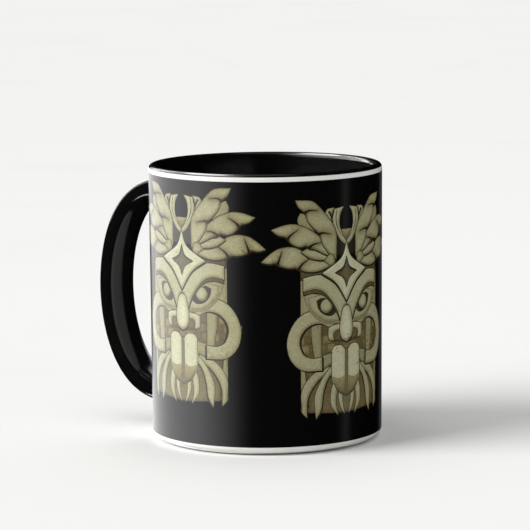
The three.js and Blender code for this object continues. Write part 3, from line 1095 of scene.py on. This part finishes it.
camera = bpy.data.objects.new("camera", bpy.data.cameras.new("camera"))
bpy.context.scene.collection.objects.link(camera)
camera.data.lens = studio["lens"]
camera.data.sensor_width = studio["film"]
camera.data.clip_start = studio["near"]
camera.data.clip_end = studio["far"]
camera.location = seen(studio["aside"], studio["distance"], studio["height"])
camera.rotation_mode = "QUATERNION"
down = math.radians(studio["down"])
looking = -toward * math.cos(down) - Vector((0, 0, math.sin(down)))
aim = looking.to_track_quat("-Z", "Y")
camera.rotation_quaternion = Quaternion(looking, math.radians(studio["roll"])) @ aim
bpy.context.scene.camera = camera


def stagePiece(name, corners, material):
    mesh = bpy.data.meshes.new(name)
    mesh.from_pydata(corners, [], [tuple(range(len(corners)))])
    mesh.materials.append(material)
    piece = bpy.data.objects.new(name, mesh)
    bpy.context.scene.collection.objects.link(piece)
    piece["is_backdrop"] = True
    return piece


floorLook = {"half": 6.0, "pale": (0.95, 0.95, 0.94, 1), "vein": (0.92, 0.92, 0.91, 1), "gloss": 0.9}


def makeFloor():
    material, tree, sockets = newFinish("pale table",
        {"Roughness": floorLook["gloss"], "Specular IOR Level": 0.0})
    where = newNode(tree, "ShaderNodeTexCoord").outputs["Object"]
    veins = newNode(tree, "ShaderNodeTexNoise", {"Scale": 3.0, "Detail": 5.0, "Distortion": 1.5})
    tree.links.new(where, veins.inputs["Vector"])
    tone = blendColour(tree, spread(tree, veins.outputs[0], 0.55, 0.8), floorLook["pale"],
        floorLook["vein"])
    tree.links.new(tone, sockets["Base Color"])
    size = floorLook["half"]
    floor = stagePiece("table_top",
        [(-size, -size, 0), (size, -size, 0), (size, size, 0), (-size, size, 0)], material)
    floor.visible_glossy = False
    return floor


makeFloor()


def areaLight(name, place, target, width, height, power, glossy):
    lamp = bpy.data.lights.new(name, "AREA")
    lamp.shape = "RECTANGLE"
    lamp.size, lamp.size_y = width * mm, height * mm
    lamp.energy = power
    lamp.color = (1.0, 0.995, 0.985)
    holder = bpy.data.objects.new(name, lamp)
    bpy.context.scene.collection.objects.link(holder)
    holder.location = seen(*place)
    aimed = seen(*target) - holder.location
    holder.rotation_mode = "QUATERNION"
    holder.rotation_quaternion = aimed.to_track_quat("-Z", "Y")
    holder.visible_glossy = glossy
    return holder


overhead = {"place": (-60, -120, 900), "target": (0, 0, 60), "side": 500, "power": 0.4}
areaLight("overhead", overhead["place"], overhead["target"], overhead["side"], overhead["side"],
    overhead["power"], True)


# the window: parallel light from the left with soft edges
def windowLight(heading, height, strength, softness):
    lamp = bpy.data.lights.new("window", "SUN")
    lamp.energy = strength
    lamp.angle = math.radians(softness)
    holder = bpy.data.objects.new("window", lamp)
    bpy.context.scene.collection.objects.link(holder)
    way = seen(math.sin(math.radians(heading)), math.cos(math.radians(heading)),
        math.tan(math.radians(height)))
    holder.rotation_mode = "QUATERNION"
    holder.rotation_quaternion = (-way).to_track_quat("-Z", "Y")
    holder.visible_glossy = False


window = {"heading": -70, "height": 32, "strength": 2.6, "softness": 40}  # angles in degrees
windowLight(**window)


# a curved card round the mug that only shows in the glaze; its brightness follows the heading,
# counted in degrees to the viewer's right of the camera
def reflectionCard(name, radius, low, high, stops, receivers=None):
    headings = [place for place, _ in stops]
    first, last = headings[0], headings[-1]
    material = bpy.data.materials.new(name)
    material.use_nodes = True
    tree = material.node_tree
    tree.nodes.clear()
    out = newNode(tree, "ShaderNodeOutputMaterial")
    glow = newNode(tree, "ShaderNodeEmission", {"Color": (1, 1, 1, 1)})
    stored = newNode(tree, "ShaderNodeAttribute", attribute_name="glow")
    tree.links.new(stored.outputs["Fac"], glow.inputs["Strength"])
    tree.links.new(glow.outputs[0], out.inputs[0])
    columns = np.linspace(first, last, max(2, int(abs(last - first)) + 1))
    points, faces = [], []
    for heading in columns:
        turned = math.radians(heading)
        for up in (low, high):
            points.append(seen(radius * math.sin(turned), radius * math.cos(turned), up))
    for i in range(len(columns) - 1):
        faces.append((2 * i, 2 * i + 2, 2 * i + 3, 2 * i + 1))
    mesh = bpy.data.meshes.new(name)
    mesh.from_pydata(points, [], faces)
    mesh.materials.append(material)
    bright = mesh.attributes.new("glow", "FLOAT", "POINT")
    levels = np.interp(columns, headings, [level for _, level in stops])
    bright.data.foreach_set("value", np.repeat(levels, 2))
    card = bpy.data.objects.new(name, mesh)
    bpy.context.scene.collection.objects.link(card)
    card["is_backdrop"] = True
    card.visible_camera = card.visible_diffuse = card.visible_shadow = card.visible_transmission = False
    if receivers:
        card.light_linking.receiver_collection = receivers
    return card


def receivers(name, pieces):
    lit = bpy.data.collections.new(name)
    for piece in pieces:
        lit.objects.link(bpy.data.objects[piece])
    return lit


onPrint = receivers("print and outer glaze", ["black_print_ground", "white_outer_glaze", *pictures])
onLiner = receivers("liner glaze", ["black_liner_glaze"])
onHandle = receivers("handle glaze", ["black_handle"])
# heights in mm; stops are heading in degrees and brightness
cardRadius = 800
cards = {
    "haze_card": {
        "low": -700, "high": 900, "receivers": onPrint,
        "stops": [(-178, 1.4), (-130, 2.2), (-95, 2.5), (-70, 2.4), (-45, 1.2), (-25, 0.2), (-16, 0.0)],
    },
    "side_strip": {
        "low": -700, "high": 900, "receivers": onPrint,
        "stops": [(78, 0.0), (82, 0.35), (84, 0.35), (88, 0.0)],
    },
    "back_strip": {
        "low": -700, "high": 900, "receivers": onPrint,
        "stops": [(148, 0.0), (158, 0.12), (164, 0.12), (170, 0.0)],
    },
    "lip_card": {
        "low": 120, "high": 2200, "receivers": onLiner,
        "stops": [(-160, 0.0), (-145, 14.0), (-100, 14.0), (-50, 5.0), (-30, 0.0)],
    },
    "high_card": {
        "low": 110, "high": 950, "receivers": onHandle,
        "stops": [(-215, 0.0), (-200, 4.0), (-150, 4.0), (-125, 0.0)],
    },
    "low_card": {
        "low": -1050, "high": -640, "receivers": onHandle,
        "stops": [(-140, 0.0), (-120, 8.0), (-75, 8.0), (-60, 0.0)],
    },
}
for cardName, card in cards.items():
    reflectionCard(cardName, cardRadius, **card)


def makeWorld():
    world = bpy.data.worlds.new("pale room")
    bpy.context.scene.world = world
    world.use_nodes = True
    tree = world.node_tree
    background = tree.nodes["Background"]
    background.inputs["Color"].default_value = (1.0, 1.0, 0.995, 1)
    path = newNode(tree, "ShaderNodeLightPath")
    strength = newNode(tree, "ShaderNodeMapRange", {"To Min": studio["fill"], "To Max": studio["wallTone"]})
    tree.links.new(path.outputs["Is Camera Ray"], strength.inputs["Value"])
    tree.links.new(strength.outputs[0], background.inputs["Strength"])
    world.cycles_visibility.glossy = False


makeWorld()
bpy.context.scene.view_settings.view_transform = "Standard"
print("stage 10: table, lights and camera set")

boxes = {"cad": cadBox, "visual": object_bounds()}
{key: [list(corner) for corner in box] for key, box in boxes.items()}
